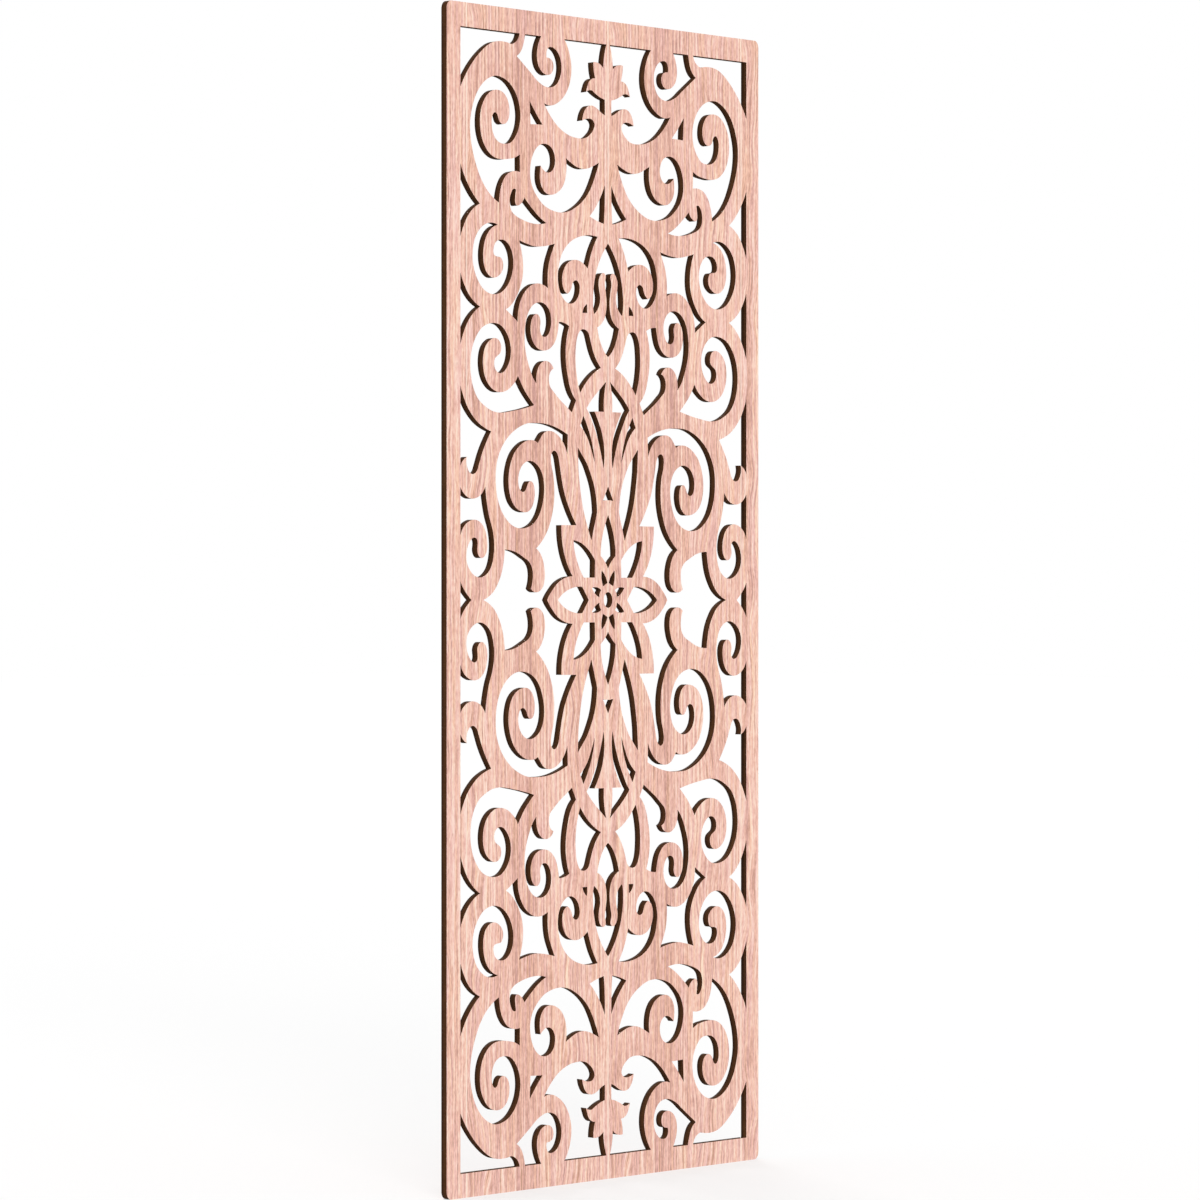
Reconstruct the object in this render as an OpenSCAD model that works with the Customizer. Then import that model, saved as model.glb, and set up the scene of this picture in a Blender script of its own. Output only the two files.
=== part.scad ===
// Fretwork screen panel: one flat veneered board, cut through with a mirrored scroll pattern.
// The panel stands upright. X runs along its width, +Z up and +Y out of its back.
// The origin is the middle of the back face, so the whole panel lies at or in front of y = 0.

/* [Panel] */
// Width of the panel, in mm
panel_w = 594; // [400:1:900]
// Height of the panel, in mm
panel_h = 1559; // [1000:1:2200]
// Thickness of the whole board, veneers included, in mm
board_t = 10.2; // [5:0.1:20]
// Half width of each rounded outer corner, in mm
corner_across = 8; // [1:0.5:20]
// Half height of each rounded outer corner, in mm
corner_up = 10.5; // [1:0.5:25]

/* [Border] */
// Width of the plain stile left at each side, in mm
stile_w = 24.5; // [10:0.5:60]
// Height of the plain rail left at top and bottom, in mm
rail_h = 31.7; // [10:0.1:80]

/* [Veneer] */
// Thickness of the veneer on each face, in mm
veneer_t = 0.6; // [0.3:0.1:1.5]
// Distance by which the seam of each narrow edge leaf clears the widest scroll, in mm
seam_clearance = 6.4; // [3:0.1:15]

/* [Cutting] */
// Largest distance between a cut curve and the short straight cuts that follow it, in mm
curve_error = 0.5; // [0.4:0.05:0.8]

/* [Hidden] */

core_t = board_t - 2 * veneer_t;

// The pattern is drawn for one quarter of the panel, in drawing units, from the panel's middle
// outwards and upwards. EDGE and TOP are where it meets the plain border.
EDGE = 272.4;
TOP = 579.7;
across_scale = (panel_w / 2 - stile_w) / EDGE;
up_scale = (panel_h / 2 - rail_h) / TOP;

// Colours of the cut edge's charred fibre and of the veneer
CHAR = "#4A301D";
VENEER = "#F0C6B4";

// Each outline is a ring of knots [across, up]. The cut runs smoothly through a knot, on the
// circle that it shares with its neighbours, and turns a sharp corner at [across, up, 1].

// Spandrel in the outer corner, over the shoulder of the big volute
corner_spandrel = [
    [165.4, TOP, 1], [168.6, 573.6], [173.6, 570], [180.6, 567.8, 1], [197, 569.5], [215, 567.2],
    [236, 556.3], [256, 539.4], [EDGE, 518.6, 1], [EDGE, TOP, 1]
];

// Pointed opening under the rail, which runs round the small hanging scroll
hanging_scroll = [
    [125.6, TOP, 1], [131.4, 570], [133.6, 559.5], [130.6, 549], [122.5, 542.4], [113, 540.7],
    [105.4, 543.9], [102.8, 550.5], [105, 555.6], [110, 558], [115.3, 558.4, 1], [115.8, 564],
    [112.8, 568.6], [106.5, 569.8], [98, 567.3], [91.2, 560.8], [88, 550.5], [90.2, 540.6],
    [97, 532.3], [107, 528.4], [118, 528.4], [128.5, 531.6], [142, 539.2], [170.8, 556.3, 1],
    [162.5, 562.2], [157.8, 570.8], [155.3, TOP, 1]
];

// Large opening beside the finial: flower petal, leaf, stem and lower curl on its inner side
finial_side = [
    [3.2, TOP, 1], [7, 569.5], [9, 554.4, 1], [13.8, 557.7], [20, 559.6], [28.1, 559.7, 1],
    [27.5, 552], [24.6, 543, 1], [30.5, 542.2], [36.2, 538.8], [39.6, 533.4], [41.9, 527.7, 1],
    [37.5, 529.6], [31.5, 530.1], [25, 527.4], [17, 524.3], [6.3, 521.8, 1], [6.1, 505.6, 1],
    [12.5, 507.7], [20, 511.4], [30.5, 514.3], [39.5, 512.5], [45.8, 506.4], [49, 497.6, 1],
    [43, 499.6], [36, 500.5], [29.6, 499.3], [25.8, 495], [27.2, 490.3], [33, 484.8],
    [41, 480.4], [49, 478.9], [60, 479], [71, 480.2], [81, 482.9], [91, 486.9], [100, 492.2],
    [109, 499.2], [120.6, 511.3, 1], [108.5, 509.5], [96, 512.7], [84, 519.8], [75, 530.1],
    [70.2, 541.5], [69.5, 552.5], [72.8, 565], [82.6, TOP, 1]
];

// Big volute in the upper corner
big_volute = [
    [203.2, 404.7, 1], [202, 412.5], [197.2, 425], [188.5, 434.2], [177.5, 438.1], [164.9, 437.8, 1],
    [165, 455.9, 1], [175, 452], [187, 450.1], [200, 449.2], [211, 450.5], [221.5, 455],
    [230, 462.8], [235.8, 474], [237.5, 485.5], [235.3, 498.5], [229, 508.8], [218.5, 516.9],
    [206.3, 519.5], [195.3, 517.4], [187.3, 510.6], [183.9, 500.5], [186, 490.5], [191.5, 486],
    [197.7, 485.4], [203, 488.7], [206, 494.4], [210.6, 496.4], [214.8, 493], [216.4, 485.5],
    [214.9, 477.8], [209.7, 470.2], [201.5, 466], [192, 465.3], [182, 467], [172.5, 474.5],
    [165.8, 485.5], [164.1, 498], [167.8, 510.8], [176.5, 522.3], [187, 529.4], [198, 532.8],
    [209, 533.7], [221.5, 530.5], [234, 523.3], [244, 512.8], [251.3, 498.8], [255, 484.5],
    [254.7, 471.5], [251, 456.5], [244.5, 441.8], [236, 428.2], [226, 417.8], [215, 410.2]
];

// Volute under the finial, with the inner curl that ends in a pointed tip
upper_volute = [
    [17.4, 455.6, 1], [28, 451.5], [38, 448.6], [48, 447.5], [59, 448.8], [69, 452.2], [79.6, 456.8, 1],
    [78.6, 446], [81.3, 434], [88, 425], [97, 419.9], [107, 417.6], [116, 418.6], [123.4, 423.4],
    [127.8, 431], [128.3, 438.5], [126.8, 446.6, 1], [121.8, 442.7], [116.5, 440.5], [111, 440.3],
    [105.5, 442.4], [101, 447.6], [100, 454.5], [102, 461], [106, 465.6], [112, 468.5],
    [119.6, 469.5], [129, 467.5], [137, 461.9], [142.8, 453.5], [146, 442], [145.4, 432.2],
    [140.6, 422.2], [132, 413.6], [120.5, 406.2], [107, 402], [92, 400.2], [77, 401.5],
    [62.5, 406.3], [49, 413.4], [36.5, 423.8], [27, 437]
];

// Crescent hooked over a round fingertip
hook_crescent = [
    [116, 388, 1], [130, 394.1], [142, 401.6], [150.5, 407.4], [156.9, 412.4, 1], [160.3, 407.6],
    [166, 404.2], [171, 403.6], [173.5, 406.6], [173.3, 412.5], [172, 419.6, 1], [175.8, 420.3],
    [180.5, 416.5], [183.6, 406.5], [180.6, 398], [171.5, 392.6], [159, 389.1], [146, 386.9],
    [132, 386.2]
];

// Small triangles between the scrolls
small_triangle = [[146.9, 511.9, 1], [135.4, 500], [123.4, 488.9, 1], [145.3, 488.1, 1]];
stem_triangle = [
    [6.2, 432.8, 1], [6.4, 415], [8.1, 392.3, 1], [21, 394.8], [35, 398.9, 1], [25, 407.5], [14.8, 419.2]
];
fleur_triangle = [[40, 307.6, 1], [44.8, 304.6], [48.6, 298.1, 1], [39.6, 298.1, 1]];

// Openings that lie against the stile
stile_triangle_high = [
    [EDGE, 440.8, 1], [266, 430], [257, 418.5], [247.5, 409.3], [237.6, 402.1, 1], [249, 396.8],
    [259, 388.7], [266.5, 378.6], [EDGE, 367.4, 1]
];
stile_triangle_low = [
    [EDGE, 330.9, 1], [266.3, 320], [258.3, 310.2], [249, 303], [237.2, 297.6, 1], [248, 291.6],
    [257.6, 283.2], [265.6, 272.3], [EDGE, 258.4, 1]
];
stile_hook = [
    [EDGE, 216.6, 1], [267, 206], [260, 195.6], [251, 187], [241, 180.1], [230, 175.2],
    [217.2, 171.5, 1], [222.5, 165], [229, 156.2], [234.5, 147.2], [239.3, 137.5], [243.5, 130.3],
    [249.5, 127.5], [255.8, 129], [260, 134.3], [261.7, 139.5], [260.6, 144.8, 1], [266.5, 142],
    [EDGE, 135.6, 1]
];
stile_scroll = [
    [227.7, 115.2, 1], [235.5, 107], [244, 103.4], [253, 102.7], [261, 104.7], [267, 108.3],
    [EDGE, 114, 1], [EDGE, 65.4, 1], [266.3, 74.2], [257.5, 79.4], [247, 81.4], [237, 79],
    [228.8, 72], [224.5, 61.5], [224.6, 51.3], [228.8, 44.6], [234.5, 42.6], [240.2, 45.6],
    [242.4, 51], [241.5, 57.5], [243.8, 62.3], [249.5, 63], [256, 58.6], [261, 49.5],
    [261.2, 39.5], [256, 30.8], [247.5, 25], [237.5, 22.8], [227, 25.4], [218, 32.6],
    [213, 44], [211.8, 57.5], [214.8, 72], [220.5, 84.3], [225, 99]
];

// Volute that stands below the big one
middle_volute = [
    [204.9, 381.9, 1], [212, 383.6], [220.5, 383.5], [230, 380.8], [238.5, 375.6], [245.5, 367.8],
    [249.7, 357.2], [250.7, 346.5], [247.8, 335], [241.3, 324.6], [232.5, 316.6], [222, 312.2],
    [211, 311.1], [200, 313.2], [189, 319.7], [181, 329.4], [176.9, 342.5], [178.6, 354],
    [184.2, 362], [191, 366.2], [199.2, 367.3], [207.3, 365.2], [212.8, 357.8], [212, 351.7],
    [206.5, 349.8], [199.6, 348.9], [195.4, 342.5], [196.6, 336.2], [202.5, 330.9], [211, 328],
    [220, 329.5], [227.4, 335.3], [231.4, 346.5], [230.4, 359.5], [224.8, 371], [215.8, 378.4]
];

// Four-sided opening with a tail
tailed_square = [
    [100.5, 367.5, 1], [112, 365.2], [124, 363.7], [137, 363.1], [151, 365], [166.4, 368.1, 1],
    [161.8, 357.3], [159.1, 344], [160, 330.5], [165, 318.7], [173, 308.2], [181, 301.2],
    [190.4, 296.5, 1], [181.5, 291.7], [168.8, 284.4, 1], [168, 295.5], [164, 305.6],
    [156.3, 315.2], [147.8, 321], [137, 324.8], [126, 325], [113.3, 321.2, 1], [113.7, 334],
    [111, 348], [105.6, 359]
];

// Hook of the small finial, with its round inner curl
fleur_hook = [
    [20, 378.2, 1], [28, 379], [38, 379.1], [49, 377.8], [60, 375.3], [71, 370.9], [81, 364.1],
    [89, 354.7], [93.5, 342.8], [94.7, 331], [91.6, 320.1], [84.3, 311.4], [75, 307],
    [66, 307.6], [58.3, 312.5], [54.2, 320.3], [54.6, 327.3], [60.8, 331.3], [66.4, 329],
    [69.6, 322.3], [76.4, 316.9, 1], [83, 320.3], [86.6, 329.5], [83.8, 341.3], [76.2, 348.6],
    [66.5, 352.1], [55.5, 352], [46.2, 348.9], [38.8, 344.3, 1], [35.4, 353], [29, 366]
];

// Opening between the two lower scrolls, with a round-headed scroll in it
twin_scroll = [
    [68.5, 194.3, 1], [79, 200.3], [91, 206.9], [102, 214.4], [109, 219.8], [111.4, 227],
    [109.2, 234.3], [102.8, 238.3, 1], [106.4, 242.7], [112.8, 245.7], [119.5, 245.9],
    [126, 243.4], [131.6, 238], [134.4, 230.5], [134.4, 222.4, 1], [141.5, 229], [147.8, 239.3],
    [153, 250.6], [156.2, 265], [154.9, 281.5], [150, 293.8], [141.5, 302.2], [130.5, 305.9],
    [119, 304.5], [110.8, 298.5], [107.2, 289], [108.7, 279.5], [113.6, 272.8], [120, 270.7],
    [125.9, 273.2], [127.9, 279.2], [127, 286], [129.5, 291.9], [134.8, 293.9], [140.5, 291.2],
    [144.3, 284.5], [145.3, 276.8], [142.7, 267.8], [136.5, 261], [127.5, 257.3], [118, 256.8],
    [107.5, 260.1], [99, 267.7], [94.5, 277.8], [92.5, 287.2, 1], [83, 286.4], [73.4, 283.3, 1],
    [77.3, 274], [80.1, 260], [79.3, 244], [75.8, 229.8], [69.7, 216], [60.6, 206.9, 1]
];

// Lowest large scroll beside the twin scroll
lower_scroll = [
    [138.8, 200, 1], [148, 207.3], [156.5, 214.8], [162.5, 221.8], [168.5, 229.4, 1], [172.5, 224],
    [179, 218.9], [188, 214.1], [198, 211.9], [208, 212.4], [218.5, 216.7], [226.5, 224],
    [231.2, 234.5], [231.9, 245.3], [228, 256.8], [220, 263.7], [210, 266.6], [202.8, 264.4],
    [198.9, 257.5], [200.3, 252.2], [205.3, 248.9], [209.8, 246.3], [211.7, 241], [209.5, 235],
    [204, 231.6], [196.5, 231.8], [189.3, 236.5], [183.3, 244.9], [181.3, 255.3], [184, 265.3],
    [190.8, 274], [200, 280], [210.5, 281.9], [222, 280.7], [233, 276.8], [243.3, 268.2],
    [250.8, 256.5], [254.4, 243], [253.9, 229.5], [249.4, 215.5], [240.5, 203.9], [228.5, 197],
    [214.5, 192.2], [199, 190.9], [180, 192.9], [160, 195.8]
];

// Large scroll that sweeps out from the lower petal
sweeping_scroll = [
    [76.9, 150.6, 1], [82.5, 160.2], [91, 168], [101, 172.8], [111, 174.2], [120.5, 172],
    [127, 166.5], [131.6, 161.2, 1], [138, 163.6], [147, 164], [157, 161.8], [167, 156.8],
    [175.8, 149.3], [182.3, 138.3], [185.6, 125], [184.3, 111.3], [178.8, 100], [170.5, 93.5],
    [160, 90.3], [150.5, 90.4], [142.5, 95.5], [138.3, 103.8], [137.9, 113.5], [141.7, 120.8],
    [146.3, 121.9], [150.3, 119], [153.5, 113.6], [158.8, 110.6], [164, 112.2], [167.3, 118.3],
    [167.2, 127.3], [162.6, 135.8], [154.5, 141.2], [145, 142.7], [134.5, 139.6], [126.3, 133.2],
    [121.4, 123.8], [120.1, 113], [122.9, 99.8], [129.3, 87.6], [139.5, 78.8], [151, 74.5],
    [164, 73.3], [177, 75.6], [189, 82], [199.5, 92.3], [206.3, 106], [208.9, 121],
    [207.5, 137.5], [201, 151.5], [191.5, 162.3], [180, 170.5], [166, 177], [150, 181.2],
    [133, 181.9], [116, 181.2], [98, 178], [76.1, 171, 1], [76.6, 160]
];

// Arrow head with a curved tail, and the narrow leaf beside it
arrow = [
    [3.5, 227.9, 1], [13, 221.3], [22, 215.1], [31, 208.4], [40.9, 199, 1], [35.5, 193.2],
    [29, 183.4], [22.5, 173], [17, 161.5], [12.4, 149.5], [8.6, 137.2, 1], [7, 148], [8, 161.5],
    [11.5, 173.5], [17.5, 184.5], [26, 196.2, 1], [8, 196.3, 1], [8.2, 207], [6.6, 217.8]
];
narrow_leaf = [
    [46.8, 191.2, 1], [50.2, 185.3], [53, 180.7, 1], [46.3, 175.8], [39, 168.2], [33, 158.2],
    [25.5, 143.2, 1], [27.4, 154], [32, 167], [38.5, 179.3]
];

// Petals round the centre: bell, tall leaf and short leaf
bell_petal = [
    [13.6, 241.9, 1], [21.5, 249], [28.5, 258.8], [33.6, 270], [37.8, 278], [45, 281],
    [52.5, 279.7], [57.8, 273.5], [61.1, 261], [61.6, 247], [59.2, 231.8], [52.8, 214.9, 1],
    [42.5, 225.3], [30, 234.4]
];
tall_leaf = [
    [31.7, 62, 1], [37.7, 73.5], [44.5, 88], [49.4, 101.5], [53, 117], [56, 134.5], [57.4, 158.2, 1],
    [49, 150.3], [40.5, 142], [33, 131], [26.3, 118.2], [22.2, 103.5], [20.8, 91.3, 1]
];
short_leaf = [
    [24.8, 41.3, 1], [35, 50.6], [48, 58], [65.4, 61.9, 1], [62.8, 49.5], [56.5, 36.8],
    [46.2, 23.3, 1], [25.3, 23.3, 1]
];

// Small cuts round the centre ring
ray_cut = [[1.2, 17.8, 1], [9.6, 14.3, 1], [12.1, 20.5], [12.2, 30.8, 1], [6.5, 26.3]];
diagonal_cut = [
    [13, 10.3, 1], [20, 13], [30.8, 12.4, 1], [24.5, 6.5], [16.6, 2.6, 1], [15.9, 6.8]
];

// Half outlines that start and end on the upright centre line, from the top down
fleur_arch = [
    [0, 372.2, 1], [8, 364], [16.5, 352.8], [23, 340.3], [27, 327], [28.7, 313.5], [28.1, 302],
    [26.7, 297.5, 1], [20.6, 301.8], [16.2, 308.4], [15.2, 315.8], [17.3, 323.5], [18.2, 330],
    [15.8, 337], [9.8, 341], [4.7, 338.6], [6.3, 331], [4.6, 321.8], [2.8, 311], [3.5, 302.3],
    [6.6, 294], [13, 287.6], [20.6, 283.9, 1], [17.5, 274.5], [12.3, 265], [6.3, 257.9], [0, 253.6, 1]
];
centre_triangle = [[0, 118.4, 1], [4.6, 111.3], [9.9, 103.5, 1], [0, 104.2]];
centre_lozenge = [
    [0, 88.6, 1], [5.5, 79], [10.5, 67.3], [13.3, 56.5], [14.1, 46, 1], [6.5, 40.3], [0, 33, 1]
];

// Half outlines that start and end on the level middle line, from the outer end inwards
side_triangle = [[EDGE, 0, 1], [EDGE, 19, 1], [266.3, 10.8], [260, 5.3], [252.7, 0, 1]];
lobed_opening = [
    [231.3, 0, 1], [222, 3.3], [212, 9.2], [204, 18], [198, 28], [194.4, 39], [192.4, 51.4, 1],
    [182, 50.8], [170, 48.3], [158, 43.7], [148.5, 39.5], [142.6, 33.2], [140.9, 25],
    [142.3, 17.2], [144.8, 11.5, 1], [137, 8], [129, 8.9], [122, 14], [118.8, 23.5], [120.3, 35.5],
    [125.5, 45.8], [134.9, 53, 1], [124.5, 60.3], [114, 71.3], [106.3, 85.5], [102, 100.5],
    [101.3, 115], [103.2, 129], [106.9, 140], [107.6, 147.5], [105.4, 152.3], [101, 154],
    [96.5, 151.7], [91.7, 141], [87.7, 125.5], [82.5, 110.3], [74.5, 96.3], [60, 77.5, 1],
    [88.2, 77.4, 1], [88, 69], [85.5, 55.5], [79, 40], [67, 24.6, 1], [82, 22.6], [94, 18],
    [105, 10], [111.2, 4.2], [114.5, 0, 1]
];
side_petal = [
    [94.5, 0, 1], [86, 6], [76, 10.2], [65, 12.9], [56, 13.9], [48.8, 13.5, 1], [36.6, 0, 1]
];

QUARTER_OUTLINES = [
    corner_spandrel, hanging_scroll, finial_side, big_volute, upper_volute, hook_crescent,
    small_triangle, stem_triangle, fleur_triangle, stile_triangle_high, stile_triangle_low,
    stile_hook, stile_scroll, middle_volute, tailed_square, fleur_hook, twin_scroll, lower_scroll,
    sweeping_scroll, arrow, narrow_leaf, bell_petal, tall_leaf, short_leaf, ray_cut, diagonal_cut
];
CENTRE_LINE_OUTLINES = [fleur_arch, centre_triangle, centre_lozenge];
MIDDLE_LINE_OUTLINES = [side_triangle, lobed_opening, side_petal];
// Radius of the centre ring's hole, in drawing units
ring_r = 8.2;
// Facets of that hole and of one rounded outer corner
ring_facets = 40;
corner_facets = 8;

function flat(knot) = [knot.x, knot.y];
function is_corner(knot) = len(knot) == 3;
function at(ring, i) = ring[(i + len(ring)) % len(ring)];
function heading(a, b) = atan2(b.y - a.y, b.x - a.x);
function turn(angle) = angle - 360 * round(angle / 360);

// Heading of the circle through knot i and its two neighbours, where it passes knot i
function heading_through(ring, i) =
    let (before = at(ring, i - 1), here = at(ring, i), after = at(ring, i + 1))
    heading(before, here) + turn(heading(here, after) - heading(before, after));

// Headings with which the cut leaves knot i and reaches the next one. From a corner it runs on
// the arc that the next smooth knot asks for, and between two corners it is straight.
function heading_out(ring, i) =
    let (chord = heading(at(ring, i), at(ring, i + 1)))
    !is_corner(at(ring, i)) ? heading_through(ring, i)
    : is_corner(at(ring, i + 1)) ? chord
    : 2 * chord - heading_through(ring, i + 1);
function heading_in(ring, i) =
    let (chord = heading(at(ring, i), at(ring, i + 1)))
    !is_corner(at(ring, i + 1)) ? heading_through(ring, i + 1)
    : is_corner(at(ring, i)) ? chord
    : 2 * chord - heading_through(ring, i);

function direction(angle) = [cos(angle), sin(angle)];
function bezier(a, b, c, d, t) =
    pow(1 - t, 3) * a + 3 * t * pow(1 - t, 2) * b + 3 * t * t * (1 - t) * c + pow(t, 3) * d;

// Points of the curve from knot i up to, but not including, the next knot. The two handles are
// as long as a circular arc of that turn needs, and the steps keep to curve_error.
function stretch(ring, i) =
    let (
        a = flat(at(ring, i)),
        d = flat(at(ring, i + 1)),
        chord = heading(a, d),
        length = norm(d - a),
        out = heading_out(ring, i),
        into = heading_in(ring, i),
        bend_out = turn(chord - out),
        bend_in = turn(into - chord),
        b = a + direction(out) * length / (3 * pow(cos(bend_out / 2), 2)),
        c = d - direction(into) * length / (3 * pow(cos(bend_in / 2), 2)),
        bend = (abs(bend_out) + abs(bend_in)) * PI / 180,
        steps = max(1, ceil(sqrt(length * up_scale * bend / (8 * curve_error))))
    )
    [for (k = [0 : steps - 1]) bezier(a, b, c, d, k / steps)];

function smooth(ring) = [for (i = [0 : len(ring) - 1]) each stretch(ring, i)];

// A ring made of a half outline and its mirror image in the line that its two ends lie on
function mirrored(half, flip) = concat(
    half,
    [
        for (i = [len(half) - 2 : -1 : 1])
        is_corner(half[i])
            ? [half[i].x * flip.x, half[i].y * flip.y, 1]
            : [half[i].x * flip.x, half[i].y * flip.y]
    ]
);

// Every distinct cut-out as points, in drawing units, with the mirror images that it needs
CUTS = concat(
    [for (ring = QUARTER_OUTLINES) [smooth(ring), [[1, 1], [-1, 1], [1, -1], [-1, -1]]]],
    [for (half = CENTRE_LINE_OUTLINES) [smooth(mirrored(half, [-1, 1])), [[1, 1], [1, -1]]]],
    [for (half = MIDDLE_LINE_OUTLINES) [smooth(mirrored(half, [1, -1])), [[1, 1], [-1, 1]]]],
    [[[for (k = [0 : ring_facets - 1]) ring_r * direction(k * 360 / ring_facets)], [[1, 1]]]]
);

// The panel's own outline, with an elliptical arc at each corner
function corner_arc(side, top, from) = [
    for (k = [0 : corner_facets])
    let (angle = from + 90 * k / corner_facets)
    [
        side * (panel_w / 2 - corner_across) + corner_across * cos(angle),
        top * (panel_h / 2 - corner_up) + corner_up * sin(angle)
    ]
];
PANEL_OUTLINE = concat(
    corner_arc(1, 1, 0), corner_arc(-1, 1, 90), corner_arc(-1, -1, 180), corner_arc(1, -1, 270)
);

// The pattern's field, inside the plain border
module field() {
    square([panel_w - 2 * stile_w, panel_h - 2 * rail_h], center = true);
}

// The face of the fretwork, drawn flat: across and up, with every cut-out taken away. The border
// masks the pattern, so that no cut-out runs into it.
module fretwork() {
    difference() {
        polygon(PANEL_OUTLINE);
        for (cut = CUTS, way = cut[1])
            intersection() {
                polygon([for (p = cut[0]) [p.x * across_scale * way.x, p.y * up_scale * way.y]]);
                field();
            }
    }
}

// A layer of the board, from depth in front of the back face forwards
module layer(depth, thickness) {
    translate([0, -depth, 0]) rotate([90, 0, 0]) linear_extrude(thickness) children();
}

// One leaf of veneer: the fretwork between two seams
module leaf(from, to) {
    intersection() {
        fretwork();
        translate([from, -panel_h / 2]) square([to - from, panel_h]);
    }
}

// Seams of the veneer. One lies on the centre line. At each side the full leaf reaches past the
// widest scroll, and a narrow leaf covers the rest.
scroll_reach = across_scale * max([for (knot = big_volute) knot.x]);
leaf_w = scroll_reach + seam_clearance;
SEAMS = [-panel_w / 2, -leaf_w, 0, leaf_w, panel_w / 2];

module core_board() {
    color(CHAR) layer(veneer_t, core_t) fretwork();
}

module front_veneer(i) {
    color(VENEER) layer(board_t - veneer_t, veneer_t) leaf(SEAMS[i], SEAMS[i + 1]);
}

module back_veneer(i) {
    color(VENEER) layer(0, veneer_t) leaf(SEAMS[i], SEAMS[i + 1]);
}

module front_veneer_edge_left() { front_veneer(0); }
module front_veneer_left() { front_veneer(1); }
module front_veneer_right() { front_veneer(2); }
module front_veneer_edge_right() { front_veneer(3); }
module back_veneer_edge_left() { back_veneer(0); }
module back_veneer_left() { back_veneer(1); }
module back_veneer_right() { back_veneer(2); }
module back_veneer_edge_right() { back_veneer(3); }

core_board();
front_veneer_edge_left();
front_veneer_left();
front_veneer_right();
front_veneer_edge_right();
back_veneer_edge_left();
back_veneer_left();
back_veneer_right();
back_veneer_edge_right();
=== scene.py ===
# %% [markdown]
# # A fretwork screen panel
#
# The real thing is one thin board, a little shorter than a grown person, cut right through by a
# laser so that volutes, hooks and leaves are left standing inside a plain border. A fibreboard
# core carries leaves of pale wood veneer on both faces. The faces are soft pinkish wood, and every
# cut wall is charred dark brown, so the whole pattern reads as light shapes with a dark rim.
#
# The solids are already modelled. This lesson loads them, gives the cut curves the
# smoothness that a laser leaves, and dresses the two surfaces: sliced veneer and charred fibre.

# %% Load the imported panel
import math

import bmesh
import bpy
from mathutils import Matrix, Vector
from mathutils.geometry import delaunay_2d_cdt


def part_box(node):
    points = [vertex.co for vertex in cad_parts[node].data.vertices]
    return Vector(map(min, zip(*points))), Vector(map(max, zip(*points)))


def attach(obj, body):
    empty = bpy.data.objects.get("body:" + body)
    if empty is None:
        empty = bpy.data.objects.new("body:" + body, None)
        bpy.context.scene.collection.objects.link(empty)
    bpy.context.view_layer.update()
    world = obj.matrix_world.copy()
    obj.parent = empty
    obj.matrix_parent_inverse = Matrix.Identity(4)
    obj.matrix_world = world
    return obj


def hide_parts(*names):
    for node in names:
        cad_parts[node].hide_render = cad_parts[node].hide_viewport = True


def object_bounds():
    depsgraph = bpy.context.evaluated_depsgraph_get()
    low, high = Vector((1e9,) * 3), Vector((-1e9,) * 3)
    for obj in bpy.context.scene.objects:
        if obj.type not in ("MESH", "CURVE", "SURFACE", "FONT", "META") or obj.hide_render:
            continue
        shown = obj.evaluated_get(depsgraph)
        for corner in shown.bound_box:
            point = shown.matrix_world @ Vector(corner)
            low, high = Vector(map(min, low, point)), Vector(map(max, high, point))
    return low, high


MM = 0.001
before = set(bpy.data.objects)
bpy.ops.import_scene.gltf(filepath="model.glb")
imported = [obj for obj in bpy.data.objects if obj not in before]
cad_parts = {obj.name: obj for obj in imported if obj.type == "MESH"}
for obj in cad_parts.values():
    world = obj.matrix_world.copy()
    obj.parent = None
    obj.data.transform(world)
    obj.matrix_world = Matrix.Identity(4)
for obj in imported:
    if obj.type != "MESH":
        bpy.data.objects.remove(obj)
cad_low, cad_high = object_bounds()
panel_width, panel_depth, panel_height = cad_high - cad_low
print("panel, mm:", [round(side / MM, 1) for side in (panel_width, panel_height, panel_depth)])

# %% [markdown]
# ## Where the layers and the veneer seams lie
#
# A veneered board is a sandwich. The core's box gives the two glue lines, and each leaf's box gives
# its seams, so nothing below repeats a size that the solids already hold.

# %% Measure the layers and the leaves
core_low, core_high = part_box("core_board")
leaf_nodes = sorted(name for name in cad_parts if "veneer" in name)
leaf_boxes = {name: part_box(name) for name in leaf_nodes}
leaf_width = leaf_boxes["front_veneer_left"][1].x - leaf_boxes["front_veneer_left"][0].x
print("core from", round(core_low.y / MM, 2), "to", round(core_high.y / MM, 2), "mm")
print("a full leaf is", round(leaf_width / MM, 1), "mm wide, in", len(leaf_nodes), "leaves")

# %% [markdown]
# ## The camera
#
# The panel is seen turned by 45 degrees, with the lens level with its middle and far enough away
# that the near edge just fills the picture. A long lens from almost six metres keeps the edges
# nearly parallel. The camera is made first, so that every later step can be looked at through it.

# %% Make the camera
LENS_MM = 130.7
STANDPOINT = Vector((-4.1565, -4.1513, 0.0))
TURNED = math.radians(-45)

camera_data = bpy.data.cameras.new("camera")
camera_data.sensor_width = 36.0
camera_data.lens = LENS_MM
camera = bpy.data.objects.new("camera", camera_data)
camera.location = STANDPOINT
camera.rotation_euler = (math.radians(90), 0, TURNED)
bpy.context.scene.collection.objects.link(camera)
bpy.context.scene.camera = camera
print("camera stands", round(STANDPOINT.length, 2), "m from the panel's middle")

# %% [markdown]
# ## The cut lines
#
# A laser follows smooth curves, while an exact solid of this size keeps its curves as chains of
# short flat cuts. There are two ways to get the curve back. A subdivision surface would also round
# the sharp cusps that make the ornament crisp. Reading each outline as a ring of points, and
# running a curve through the gentle ones only, keeps the cusps, so that is the way used here.
#
# First the rings: the edges that only one triangle of the core's flat front uses are its outline.

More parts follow.
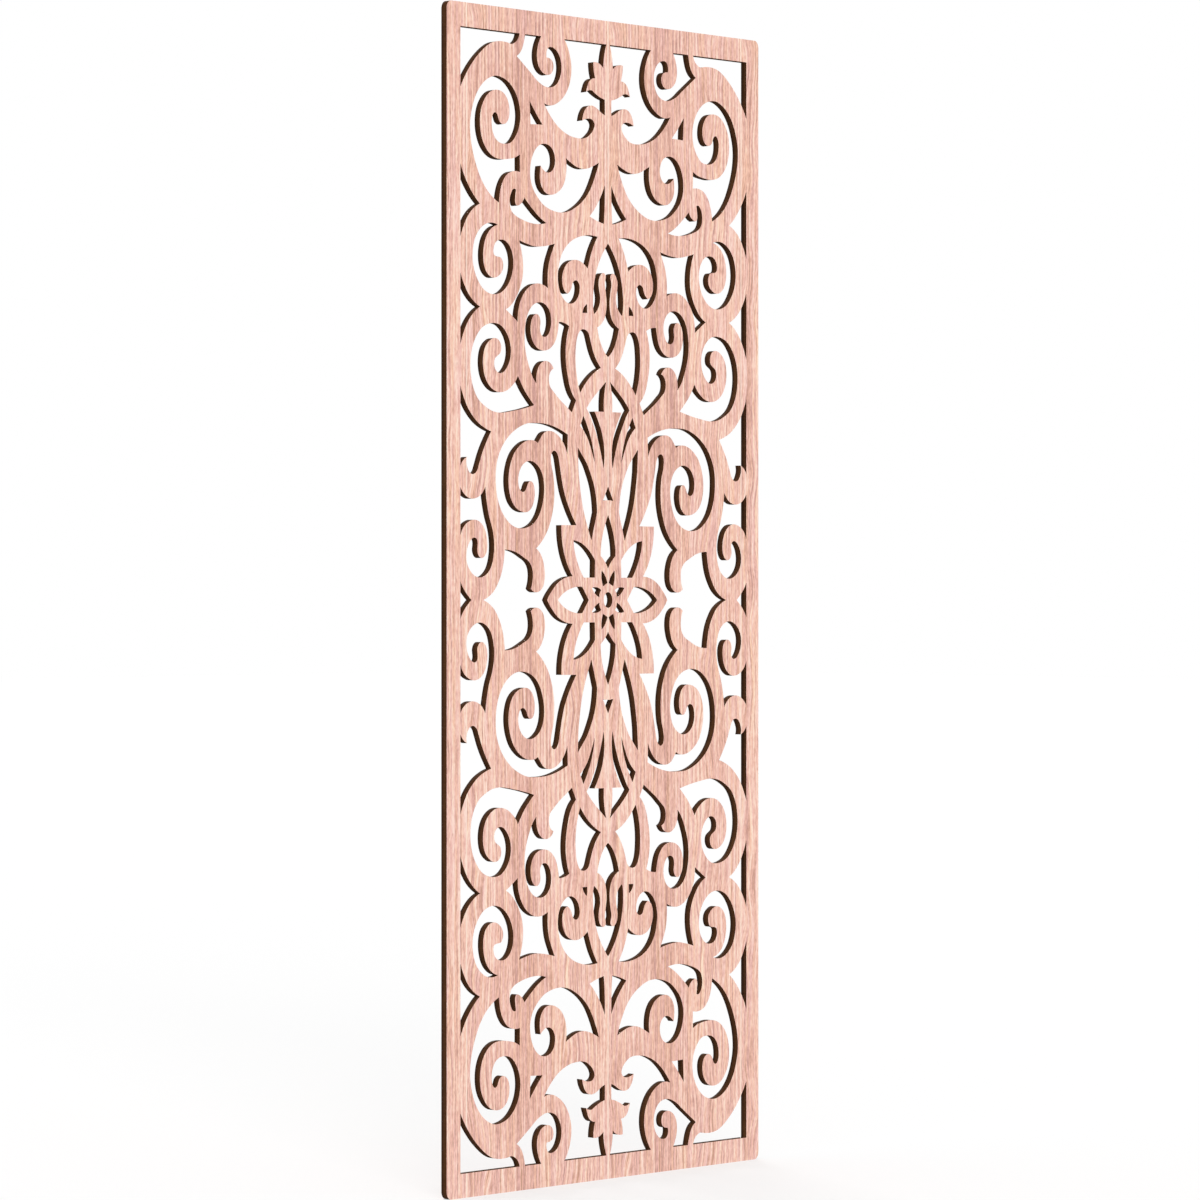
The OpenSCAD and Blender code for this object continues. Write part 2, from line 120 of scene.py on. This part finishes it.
# %% Read the outlines of the core's front
SAME_PLACE = 0.01 * MM


def flat_rings(node, depth):
    """Every closed outline of the flat face at that depth, as points across and up."""
    mesh = node.data
    place = {}
    edges = set()
    for face in mesh.polygons:
        corners = [mesh.vertices[i].co for i in face.vertices]
        if any(abs(corner.y - depth) > SAME_PLACE for corner in corners):
            continue
        keys = [(round(corner.x / MM, 2), round(corner.z / MM, 2)) for corner in corners]
        place.update({key: Vector((corner.x, corner.z)) for key, corner in zip(keys, corners)})
        edges.update(zip(keys, keys[1:] + keys[:1]))
    following = {start: end for start, end in edges if (end, start) not in edges}
    rings = []
    while following:
        start, here = following.popitem()
        ring = [start]
        while here != start:
            ring.append(here)
            here = following.pop(here)
        rings.append([place[key] for key in ring])
    return sorted(rings, key=len)


rough_rings = flat_rings(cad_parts["core_board"], core_low.y)
print(len(rough_rings), "outlines with", sum(map(len, rough_rings)), "points")

# %% [markdown]
# ## Cusps
#
# A cusp gives itself away without any list. The solid's flat cuts stray by about half a millimetre
# from the real curve at most. A flat cut of length l that strays by s makes the outline turn by
# 8s/l, half of it at each end. So a point where it turns by more than its two sides together can
# explain has to be a cusp. The ends of a long straight side stay sharp too.

# %% Tell a cusp from a gentle point
FLAT_CUT_ERROR = 0.55 * MM
STRAIGHT_SIDE = 30 * MM


def heading(start, end):
    return math.atan2(end.y - start.y, end.x - start.x)


def turn(angle):
    return (angle + math.pi) % (2 * math.pi) - math.pi


def is_sharp(side_before, side_after, turned):
    """Whether a point turns by more than flat cuts explain, or ends a long straight side."""
    explained = 4 * FLAT_CUT_ERROR * (1 / side_before + 1 / side_after)
    return abs(turned) > explained or max(side_before, side_after) > STRAIGHT_SIDE


most_turned = math.degrees(8 * FLAT_CUT_ERROR / (10 * MM))
print("between sides of 10 mm, a turn of over", round(most_turned), "degrees is a cusp")

# %% [markdown]
# ## Curves
#
# At a gentle point the cut runs on the circle through that point and its two neighbours, so that
# circle's direction there is the curve's. Each side then becomes a cubic Bezier. Its handles are
# as long as a circular arc of that turn needs, which keeps a volute as round as it was drawn.

# %% Bend one side
CURVE_ERROR = 0.03 * MM


def bent_side(start, end, leaving, reaching):
    """Points from start to just before end, on the curve that leaves and reaches at headings."""
    side, chord = (end - start).length, heading(start, end)
    bends = turn(chord - leaving), turn(reaching - chord)
    handles = [side / (3 * math.cos(bend / 2) ** 2) for bend in bends]
    first = start + handles[0] * Vector((math.cos(leaving), math.sin(leaving)))
    second = end - handles[1] * Vector((math.cos(reaching), math.sin(reaching)))
    bend = abs(bends[0]) + abs(bends[1])
    steps = max(1, math.ceil(math.sqrt(side * bend / (8 * CURVE_ERROR))))
    shares = [k / steps for k in range(steps)]
    return [
        (1 - t) ** 3 * start
        + 3 * t * (1 - t) ** 2 * first
        + 3 * t * t * (1 - t) * second
        + t**3 * end
        for t in shares
    ]


quarter_turn = bent_side(Vector((0, 0)), Vector((0.01, 0.01)), 0, math.radians(90))
print("a quarter turn of 10 mm radius gets", len(quarter_turn), "steps")

# %% [markdown]
# A ring is smoothed side by side. A side between two sharp points stays straight. Where only one
# end is sharp, the side bends at that end as much as it does at the gentle one.

# %% Smooth every ring
def smooth_ring(ring):
    """The ring with its gentle points joined by curves, and its sharp ones kept."""
    count = len(ring)
    sides = [(ring[(i + 1) % count] - ring[i]).length for i in range(count)]
    chords = [heading(ring[i], ring[(i + 1) % count]) for i in range(count)]
    turned = [turn(chords[i] - chords[i - 1]) for i in range(count)]
    sharp = [is_sharp(sides[i - 1], sides[i], turned[i]) for i in range(count)]
    through = [
        chords[i - 1] + turn(chords[i] - heading(ring[i - 1], ring[(i + 1) % count]))
        for i in range(count)
    ]
    smooth = []
    for i in range(count):
        j = (i + 1) % count
        if sharp[i] and sharp[j]:
            smooth.append(ring[i])
            continue
        leaving = through[i] if not sharp[i] else 2 * chords[i] - through[j]
        reaching = through[j] if not sharp[j] else 2 * chords[i] - through[i]
        smooth += bent_side(ring[i], ring[j], leaving, reaching)
    return smooth


rings = [smooth_ring(ring) for ring in rough_rings]
print("smoothed to", sum(map(len, rings)), "points")

# %% [markdown]
# ## The flat face
#
# One flat face serves all three layers of the board. Filling it by hand is hopeless with this many
# openings, so a constrained Delaunay triangulation does it: it joins all the points into triangles
# and never crosses a cut. It numbers the points anew, so the cuts are looked up again.

# %% Triangulate between the cuts
WITH_HOLES = 0
ONE_POINT = 1e-7


def triangulate(rings):
    """Points, triangles over wood and holes alike, and cuts that keep the wood on their left."""
    corners, cuts = [], []
    for ring in rings:
        first = len(corners)
        corners += ring
        cuts += [(first + i, first + (i + 1) % len(ring)) for i in range(len(ring))]
    filled = delaunay_2d_cdt(corners, cuts, [], WITH_HOLES, ONE_POINT)
    points, triangles, came_from = filled[0], filled[2], filled[3]
    new_place = {old: new for new, olds in enumerate(came_from) for old in olds}
    return points, triangles, {(new_place[a], new_place[b]) for a, b in cuts}


face_points, all_triangles, cut_sides = triangulate(rings)
print(len(all_triangles), "triangles, holes included, between", len(cut_sides), "cut sides")

# %% [markdown]
# The holes have to go. Asking of each triangle whether it lies in a hole is slow. It is quicker to
# start from the triangles on the wood side of the cuts and to spread until a cut is met.

# %% Keep the wood
def wood_only(triangles, cuts):
    """The triangles that can be reached from the wood side of a cut without crossing one."""
    beside = {}
    for number, (a, b, c) in enumerate(triangles):
        beside.update({(a, b): number, (b, c): number, (c, a): number})
    waiting = [beside[cut] for cut in cuts if cut in beside]
    wood = set(waiting)
    while waiting:
        a, b, c = triangles[waiting.pop()]
        for start, end in ((a, b), (b, c), (c, a)):
            beyond = beside.get((end, start))
            is_cut = (start, end) in cuts or (end, start) in cuts
            if beyond is not None and not is_cut and beyond not in wood:
                wood.add(beyond)
                waiting.append(beyond)
    return [triangles[number] for number in sorted(wood)]


face_triangles = wood_only(all_triangles, cut_sides)
area = sum(
    abs((face_points[b] - face_points[a]).cross(face_points[c] - face_points[a])) / 2
    for a, b, c in face_triangles
)
print(len(face_triangles), "triangles in the flat face,", round(area, 4), "square metres of wood")

# %% [markdown]
# ## The layers of the board
#
# Each layer is that face twice, at two depths, joined by walls. Cap faces and walls get different
# material numbers, because one is wood grain and the other is burnt fibre. The walls are shaded
# smooth, so that a curve shows no flats, but a cusp has to stay a crisp line.

# %% Make one layer
FACE, WALL = 0, 1
CUSP_EDGE = math.radians(30)


def layer_mesh(front, back):
    """A bmesh of the fretwork between two depths, with its caps and walls numbered apart."""
    mesh = bmesh.new()
    sheets = [
        [mesh.verts.new((point.x, depth, point.y)) for point in face_points]
        for depth in (front, back)
    ]
    sides = set()
    for a, b, c in face_triangles:
        mesh.faces.new([sheets[0][i] for i in (a, b, c)]).material_index = FACE
        mesh.faces.new([sheets[1][i] for i in (c, b, a)]).material_index = FACE
        sides.update(((a, b), (b, c), (c, a)))
    for start, end in sides:
        if (end, start) not in sides:
            wall = mesh.faces.new(
                [sheets[0][end], sheets[0][start], sheets[1][start], sheets[1][end]]
            )
            wall.material_index = WALL
            wall.smooth = True
    for edge in mesh.edges:
        if len(edge.link_faces) == 2 and edge.calc_face_angle() > CUSP_EDGE:
            edge.smooth = False
    return mesh


print("an edge that turns by more than", round(math.degrees(CUSP_EDGE)), "degrees stays crisp")

# %% [markdown]
# ## Leaves of veneer
#
# A face is too wide for one slice of a log, so the veneer is laid in leaves that meet at upright
# seams. Each leaf could be filled from outlines of its own. It is simpler to make the whole layer,
# cut it at the seams and close the cut ends, because then both sides of a seam match exactly.

# %% Cut a layer to one leaf
def cut_to_leaf(mesh, left, right):
    """Keeps what lies between two upright seams, and closes the cut ends."""
    for seam, outward in ((left, -1), (right, 1)):
        if abs(abs(seam) - panel_width / 2) < SAME_PLACE:
            continue
        geometry = list(mesh.verts) + list(mesh.edges) + list(mesh.faces)
        cut = bmesh.ops.bisect_plane(
            mesh, geom=geometry, dist=1e-8, plane_co=(seam, 0, 0),
            plane_no=(outward, 0, 0), clear_outer=True,
        )
        edges = [piece for piece in cut["geom_cut"] if isinstance(piece, bmesh.types.BMEdge)]
        open_edges = [edge for edge in edges if edge.is_boundary]
        ends = bmesh.ops.edgenet_fill(mesh, edges=open_edges, mat_nr=WALL)
        print("   seam at", round(seam / MM, 1), "mm closed by", len(ends["faces"]), "ends")


print("seams, mm:", sorted({round(low.x / MM, 1) for low, high in leaf_boxes.values()})[1:])

# %% [markdown]
# ## One piece for each imported node
#
# A piece that is drawn again is named after the imported node it stands for, and hangs from what it
# rides on. The panel has no moving part, so everything rides on the root.

# %% Turn a mesh into a piece
def dress(node, mesh, materials):
    """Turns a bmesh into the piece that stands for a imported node."""
    data = bpy.data.meshes.new(node + "_cut")
    mesh.to_mesh(data)
    mesh.free()
    for material in materials:
        data.materials.append(material)
    piece = bpy.data.objects.new(node + "_cut", data)
    bpy.context.scene.collection.objects.link(piece)
    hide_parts(node)
    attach(piece, "root")
    return piece


print("pieces to make:", 1 + len(leaf_nodes))

# %% [markdown]
# ## Colours and a node helper
#
# Colours are written as the sRGB hex values that a screen shows, and one function turns them into
# the linear values that a shader needs. One more function adds a node with its settings and links.

# %% Colour and node helpers
def linear(code):
    """sRGB hex, such as "F0C6B4", to linear red, green, blue and alpha."""
    shares = [int(code[i : i + 2], 16) / 255 for i in (0, 2, 4)]
    return [c / 12.92 if c <= 0.04045 else ((c + 0.055) / 1.055) ** 2.4 for c in shares] + [1.0]


def grey(value):
    return [value, value, value, 1.0]


def add(tree, kind, settings=None, links=None):
    """A node of that kind. Settings are its properties or its sockets' values, and links go in."""
    node = tree.nodes.new(kind)
    for name, value in (settings or {}).items():
        if isinstance(name, str) and hasattr(node, name):
            setattr(node, name, value)
        else:
            node.inputs[name].default_value = value
    for name, source in (links or {}).items():
        tree.links.new(source, node.inputs[name])
    return node


def new_material(name):
    material = bpy.data.materials.new(name)
    material.use_nodes = True
    material.node_tree.nodes.clear()
    return material, material.node_tree


print("mid veneer colour, linear:", [round(c, 3) for c in linear("F0C6B4")[:3]])

# %% [markdown]
# ## Two tools for natural patterns
#
# Wood figure and burn marks are both uneven in a directed way: long one way and short the other.
# Noise that is squeezed by a different amount along each axis gives that, with the size of its
# blotches stated in millimetres. A colour ramp does what is known place by place.

# %% Stretched noise and filled ramps
def stretched_noise(tree, place, size_mm, detail, roughness=0.5, distortion=0.0):
    """Noise whose blotches have about that size across, through and up the panel."""
    squeezed = add(
        tree, "ShaderNodeMapping", {"Scale": [1 / (side * MM) for side in size_mm]},
        {"Vector": place},
    )
    return add(
        tree, "ShaderNodeTexNoise",
        {"Scale": 1.0, "Detail": detail, "Roughness": roughness, "Distortion": distortion},
        {"Vector": squeezed.outputs[0]},
    ).outputs[0]


def fill_ramp(ramp, stops):
    """Sets a colour ramp's stops from (place, colour) pairs, and gives its colour."""
    elements = ramp.color_ramp.elements
    while len(elements) > 1:
        elements.remove(elements[-1])
    elements[0].position, elements[0].color = stops[0]
    for place, colour in stops[1:]:
        elements.new(place).color = colour
    return ramp.outputs[0]


print("patterns come from", stretched_noise.__name__, "and", fill_ramp.__name__)

# %% [markdown]
# ## The face: steamed beech veneer
#
# The leaves are sliced from one steamed beech log and laid side by side in the order in which they
# were cut, so the same figure comes back once per leaf. Steaming turns beech a soft pink. The eye
# gets three things from it: slow bands of lighter and darker wood a few centimetres wide, fine
# long streaks a few millimetres wide, and short brown ray flecks.
#
# A picture of wood could be laid over the face, but a pattern that is built from sizes stays sharp
# at any distance. It is built in leaf coordinates: the distance from the leaf's own left edge, and
# the height.

# %% Find the place within a leaf
veneer, tree = new_material("steamed_beech_veneer")
on_panel = add(
    tree, "ShaderNodeSeparateXYZ", links={0: add(tree, "ShaderNodeTexCoord").outputs["Object"]}
).outputs
across = add(
    tree, "ShaderNodeMath", {"operation": "FLOORED_MODULO", 1: leaf_width}, {0: on_panel["X"]}
).outputs[0]
on_leaf = add(
    tree, "ShaderNodeCombineXYZ", links={"X": across, "Z": on_panel["Z"]}
).outputs[0]


def leaf_stops(stops_mm):
    """Grey stops of a ramp, with places in millimetres turned to shares of a leaf's width."""
    return [(mm * MM / leaf_width, grey(value)) for mm, value in stops_mm]


print("the figure comes back every", round(leaf_width / MM, 1), "mm")

# %% [markdown]
# In two zones of a leaf the grain sways from side to side by a few millimetres, and elsewhere it
# runs nearly straight. Each line could be bent by itself. It is simpler to push the whole pattern
# sideways with one slow wave, and to let a ramp of listed stops say how much of it each place feels.

# %% Sway the grain
WAVINESS_MM = [
    (0, 0.80), (36, 0.95), (50, 0.15), (96, 0.06), (144, 0.06), (165, 0.45), (180, 0.95),
    (204, 1.00), (226, 0.50), (240, 0.10), (261, 0.08),
]
SWAY_RANGE = 42 * MM

across_share = add(
    tree, "ShaderNodeMath", {"operation": "DIVIDE", 1: leaf_width}, {0: across}
).outputs[0]
waviness = fill_ramp(
    add(tree, "ShaderNodeValToRGB", links={0: across_share}), leaf_stops(WAVINESS_MM)
)
wave = stretched_noise(tree, on_leaf, (80, 80, 115), 1.0)
full_sway = add(
    tree, "ShaderNodeMath",
    {"operation": "MULTIPLY_ADD", 1: SWAY_RANGE, 2: -SWAY_RANGE / 2}, {0: wave},
).outputs[0]
swayed = add(
    tree, "ShaderNodeMath", {"operation": "MULTIPLY_ADD"}, {0: full_sway, 1: waviness, 2: across}
).outputs[0]
in_grain = add(
    tree, "ShaderNodeCombineXYZ", links={"X": swayed, "Z": on_panel["Z"]}
).outputs[0]
print("the grain can sway by", round(SWAY_RANGE / 2 / MM), "mm to each side at most")

# %% [markdown]
# The figure is a sum of patterns, each with a weight. The bands are a ramp of listed stops, because
# they have known places. Noise that is long up the grain gives the rest: a broad shade, lines that
# run far, streaks, dashes and fibres. Each is centred on middle grey, so a weight sets only how
# strongly it shows. Real pores are a tenth of a millimetre wide, too fine to show from here, so
# the streaks, dashes and fibres are drawn 1 to 4 mm wide.

# %% Add up the figure
BANDS_MM = [
    (0, 0.60), (13, 0.35), (30, 0.62), (48, 0.56), (55, 0.34), (64, 0.52), (80, 0.42),
    (96, 0.08), (104, 0.36), (115, 0.10), (130, 0.36), (142, 0.52), (156, 0.34), (163, 0.60),
    (180, 0.58), (198, 0.34), (214, 0.55), (240, 0.56), (261, 0.66),
]
BANDS_WEIGHT = 0.5
MIDDLE_GREY = 0.5

swayed_share = add(
    tree, "ShaderNodeMath", {"operation": "DIVIDE", 1: leaf_width}, {0: swayed}
).outputs[0]
soft_bands = add(tree, "ShaderNodeValToRGB", links={0: swayed_share})
soft_bands.color_ramp.interpolation = "EASE"
bands = fill_ramp(soft_bands, leaf_stops(BANDS_MM))
broad = stretched_noise(tree, in_grain, (24, 24, 420), 2.0, 0.5, 0.3)
lines = stretched_noise(tree, in_grain, (3.0, 3.0, 600), 1.0)
streaks = stretched_noise(tree, in_grain, (3.8, 3.8, 60), 3.0, 0.6)
dashes = stretched_noise(tree, in_grain, (2.6, 2.6, 9), 3.0, 0.65)
fibres = stretched_noise(tree, in_grain, (1.1, 1.1, 30), 2.0, 0.6)
noises = [(broad, 0.25), (lines, 1.3), (streaks, 1.5), (dashes, 1.15), (fibres, 0.6)]
start = MIDDLE_GREY * (1 - BANDS_WEIGHT - sum(weight for noise, weight in noises))
figure = add(
    tree, "ShaderNodeMath", {"operation": "MULTIPLY_ADD", 1: BANDS_WEIGHT, 2: start}, {0: bands}
).outputs[0]
for noise, weight in noises:
    figure = add(
        tree, "ShaderNodeMath", {"operation": "MULTIPLY_ADD", 1: weight}, {0: noise, 2: figure}
    ).outputs[0]
print(1 + len(noises), "patterns add up to the figure, from", round(start, 2))

# %% [markdown]
# Steamed beech isn't one hue. Most of it is pink, with creamier streaks here and there. Tinting
# the light would change both alike, so the figure is coloured twice, and one more noise chooses
# between the two. The ray flecks, a centimetre long and two millimetres wide, go on top in a brown
# that the wood shows through.

# %% Colour the figure
pink = fill_ramp(
    add(tree, "ShaderNodeValToRGB", links={0: figure}),
    [(0.1, linear("C5948A")), (0.5, linear("F0BEB3")), (0.9, linear("FFE0D3"))],
)
cream = fill_ramp(
    add(tree, "ShaderNodeValToRGB", links={0: figure}),
    [(0.1, linear("C89980")), (0.5, linear("F6C3A7")), (0.9, linear("FFE6CB"))],
)
creaminess = add(
    tree, "ShaderNodeMapRange", {"From Min": 0.38, "From Max": 0.72},
    {"Value": stretched_noise(tree, in_grain, (4, 4, 220), 2.0)},
).outputs[0]
wood = add(
    tree, "ShaderNodeMix", {"data_type": "RGBA"}, {0: creaminess, 6: pink, 7: cream}
).outputs[2]
fleck_cover = add(
    tree, "ShaderNodeMapRange", {"From Min": 0.60, "From Max": 0.74, "To Max": 0.5},
    {"Value": stretched_noise(tree, in_grain, (2.2, 2.2, 12), 1.0)},
).outputs[0]
flecked = add(
    tree, "ShaderNodeMix", {"data_type": "RGBA", 7: linear("C48C78")}, {0: fleck_cover, 6: wood}
).outputs[2]
print("the wood runs from pink F0BEB3 to cream F6C3A7 at mid tone")

# %% [markdown]
# The edges of the leaves are a little paler, which shows as a fine light line at every seam. The
# face is sanded and left bare, so it has almost no shine, and only the fibres stand up from it.

# %% Light the seams and finish the face
to_seam = add(
    tree, "ShaderNodeMath", {"operation": "PINGPONG", 1: leaf_width / 2}, {0: on_panel["X"]}
).outputs[0]
seam_light = add(
    tree, "ShaderNodeMapRange",
    {"From Min": 1.5 * MM, "From Max": 0.5 * MM, "To Max": 0.75}, {"Value": to_seam},
).outputs[0]
jointed = add(
    tree, "ShaderNodeMix", {"data_type": "RGBA", 7: linear("FFEADA")}, {0: seam_light, 6: flecked}
).outputs[2]
sanded = add(
    tree, "ShaderNodeMapRange", {"To Min": 0.56, "To Max": 0.70}, {"Value": figure}
).outputs[0]
raised_fibres = add(
    tree, "ShaderNodeBump", {"Strength": 0.35, "Distance": 0.06 * MM}, {"Height": fibres}
).outputs[0]
bare_wood = add(
    tree, "ShaderNodeBsdfPrincipled", {"IOR": 1.45, "Specular IOR Level": 0.35},
    {"Base Color": jointed, "Roughness": sanded, "Normal": raised_fibres},
)
add(tree, "ShaderNodeOutputMaterial", links={0: bare_wood.outputs[0]})
print(veneer.name, "has", len(tree.nodes), "nodes")

# %% [markdown]
# ## The walls: charred fibreboard
#
# A laser leaves the cut wall as a thin skin of charred fibre: dark brown and quite matt. It is
# darkest beside the two faces, where the veneer and the glue line burn hardest, and a little
# browner in the middle of the core. The depth through the board is known everywhere on a wall, so
# one ramp from front to back gives that.

# %% Burn through the depth
char, tree = new_material("charred_fibre")
on_wall = add(tree, "ShaderNodeTexCoord").outputs["Object"]
depth = add(tree, "ShaderNodeSeparateXYZ", links={0: on_wall}).outputs["Y"]
depth_share = add(
    tree, "ShaderNodeMapRange", {"From Min": cad_low.y, "From Max": cad_high.y}, {"Value": depth}
).outputs[0]
burnt = fill_ramp(
    add(tree, "ShaderNodeValToRGB", links={0: depth_share}),
    [
        (0.0, linear("3B2515")), (0.08, linear("4D2F1C")), (0.35, linear("52341F")),
        (0.65, linear("4C311F")), (0.92, linear("422B1E")), (1.0, linear("342213")),
    ],
)
print("char from", round(cad_low.y / MM, 1), "mm to", round(cad_high.y / MM, 1), "mm")

# %% [markdown]
# The beam pulses as it travels, and each pulse leaves a ridge that runs straight through the board.
# The ridges are about 0.4 mm apart, which is too fine to show from here, so they are drawn 1.5 mm
# apart. Smoke settles on the wall in wide soft patches, a little lighter than the char.

# %% Ridges and smoke
ridges = stretched_noise(tree, on_wall, (1.5, 25, 1.5), 2.0)
ridge_shade = add(
    tree, "ShaderNodeMapRange", {"From Min": 0.35, "From Max": 0.75, "To Max": 0.45},
    {"Value": ridges},
).outputs[0]
ridged = add(
    tree, "ShaderNodeMix", {"data_type": "RGBA", 7: linear("2D1B0C")}, {0: ridge_shade, 6: burnt}
).outputs[2]
smoke_cover = add(
    tree, "ShaderNodeMapRange", {"From Min": 0.5, "From Max": 0.8, "To Max": 0.5},
    {"Value": stretched_noise(tree, on_wall, (22, 6, 22), 3.0)},
).outputs[0]
smoked = add(
    tree, "ShaderNodeMix", {"data_type": "RGBA", 7: linear("634228")}, {0: smoke_cover, 6: ridged}
).outputs[2]
raised_ridges = add(
    tree, "ShaderNodeBump", {"Strength": 0.5, "Distance": 0.12 * MM}, {"Height": ridges}
).outputs[0]
charred = add(
    tree, "ShaderNodeBsdfPrincipled",
    {"Roughness": 0.9, "IOR": 1.45, "Specular IOR Level": 0.04},
    {"Base Color": smoked, "Normal": raised_ridges},
)
add(tree, "ShaderNodeOutputMaterial", links={0: charred.outputs[0]})
print(char.name, "has", len(tree.nodes), "nodes")

# %% [markdown]
# ## Put the board together
#
# The core goes in whole. Each face gets one layer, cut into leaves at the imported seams. Every piece
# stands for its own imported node.

# %% Core and leaves
core = dress("core_board", layer_mesh(core_low.y, core_high.y), [char, char])
print(core.name, len(core.data.polygons), "faces")
for name in leaf_nodes:
    low, high = leaf_boxes[name]
    leaf = layer_mesh(low.y, high.y)
    cut_to_leaf(leaf, low.x, high.x)
    piece = dress(name, leaf, [veneer, char])
    print(piece.name, len(piece.data.polygons), "faces")

# %% [markdown]
# ## A background lifted to white
#
# The panel stands in front of nothing at all, on plain white. Turning the light up until the
# background is white would bleach the wood. Instead the floor and the world are lifted to white
# only for the rays that show them: those from the lens, and those in a shiny or clear surface.

# %% Rays that show the background
def background_share(tree):
    """1 for a ray from the lens, or from a shiny or clear surface, and 0 for a lighting ray."""
    rays = add(tree, "ShaderNodeLightPath")
    share = rays.outputs["Is Camera Ray"]
    for kind in ("Is Glossy Ray", "Is Transmission Ray"):
        share = add(
            tree, "ShaderNodeMath", {"operation": "MAXIMUM"}, {0: share, 1: rays.outputs[kind]}
        ).outputs[0]
    return share


print("the background is told from the light by", background_share.__name__)

# %% [markdown]
# ## Floor
#
# To the lens the floor takes the panel's shadow as any matt floor does, and a steady lift on top
# makes it white. It gives back less light than the sky, so that a wall that faces down is darker
# than one that faces up. A real floor is also darker right beside the panel, and that would darken
# the panel's foot in turn. Here the light that it gives back is left even instead, at the level of
# the same paint out in the open, because the panel should look alike all the way down.

# %% Floor
FLOOR_REACH = 30.0
FLOOR_GREY, FLOOR_LIFT, FLOOR_BOUNCE = 0.42, 0.53, 0.475

floor_mesh = bpy.data.meshes.new("floor")
floor_mesh.from_pydata(
    [
        (x * FLOOR_REACH, y * FLOOR_REACH, cad_low.z)
        for x, y in ((-1, -1), (1, -1), (1, 1), (-1, 1))
    ],
    [], [(0, 1, 2, 3)],
)
floor = bpy.data.objects.new("floor", floor_mesh)
bpy.context.scene.collection.objects.link(floor)
floor_paint, tree = new_material("white_floor_paint")
matt = add(tree, "ShaderNodeBsdfDiffuse", {"Color": grey(FLOOR_GREY)}).outputs[0]
lift = add(tree, "ShaderNodeEmission", {"Color": grey(1.0), "Strength": FLOOR_LIFT}).outputs[0]
seen = add(tree, "ShaderNodeAddShader", links={0: matt, 1: lift}).outputs[0]
bounce = add(
    tree, "ShaderNodeEmission", {"Color": grey(1.0), "Strength": FLOOR_BOUNCE}
).outputs[0]
paint = add(tree, "ShaderNodeMixShader", links={0: background_share(tree), 1: bounce, 2: seen})
add(tree, "ShaderNodeOutputMaterial", links={0: paint.outputs[0]})
floor_mesh.materials.append(floor_paint)
print("floor at", round(cad_low.z, 4), "m")

# %% [markdown]
# ## World
#
# The world gives an even white light from all round. At this level, and with the lamps below, a
# colour shows about as it is written. To the lens it is plain white.

# %% World
SKY_LIGHT = 0.82

world = bpy.data.worlds.new("studio")
bpy.context.scene.world = world
world.use_nodes = True
tree = world.node_tree
tree.nodes.clear()
level = add(
    tree, "ShaderNodeMapRange", {"To Min": SKY_LIGHT, "To Max": 1.0},
    {"Value": background_share(tree)},
).outputs[0]
sky = add(tree, "ShaderNodeBackground", {"Color": grey(1.0)}, {"Strength": level})
add(tree, "ShaderNodeOutputWorld", links={0: sky.outputs[0]})
print("the sky lights at", SKY_LIGHT, "and shows as 1")

# %% [markdown]
# ## Lamps
#
# Even light alone would make every wall the same brown. Two wide soft lamps, one before and one
# behind the panel, make a wall that faces up lighter than one that faces down, and give the floor
# a soft shadow. Area lamps would do that too, but they light the near end of so tall a panel more
# than the far end, and a sun with a wide disc doesn't.

# %% Lamps
SOFTNESS = math.radians(28)


def soft_lamp(name, place, strength):
    """A far lamp, as wide to the panel as a big soft box, that shines from there to its middle."""
    lamp_data = bpy.data.lights.new(name, "SUN")
    lamp_data.angle = SOFTNESS
    lamp_data.energy = strength
    lamp = bpy.data.objects.new(name, lamp_data)
    lamp.location = place
    lamp.rotation_euler = (-lamp.location).to_track_quat("-Z", "Y").to_euler()
    bpy.context.scene.collection.objects.link(lamp)
    return lamp


lamps = [
    soft_lamp("front_soft_box", (-2.6, -3.8, 1.7), 1.42),
    soft_lamp("back_soft_box", (2.6, 3.8, 1.7), 1.38),
]
print("lamps of", [round(lamp.data.energy, 2) for lamp in lamps], "watts per square metre")

# %% [markdown]
# ## Finish
#
# The view transform is left plain, so that a colour stays as it is written.

# %% Set a plain view transform
bpy.context.scene.view_settings.view_transform = "Standard"
bpy.context.view_layer.update()
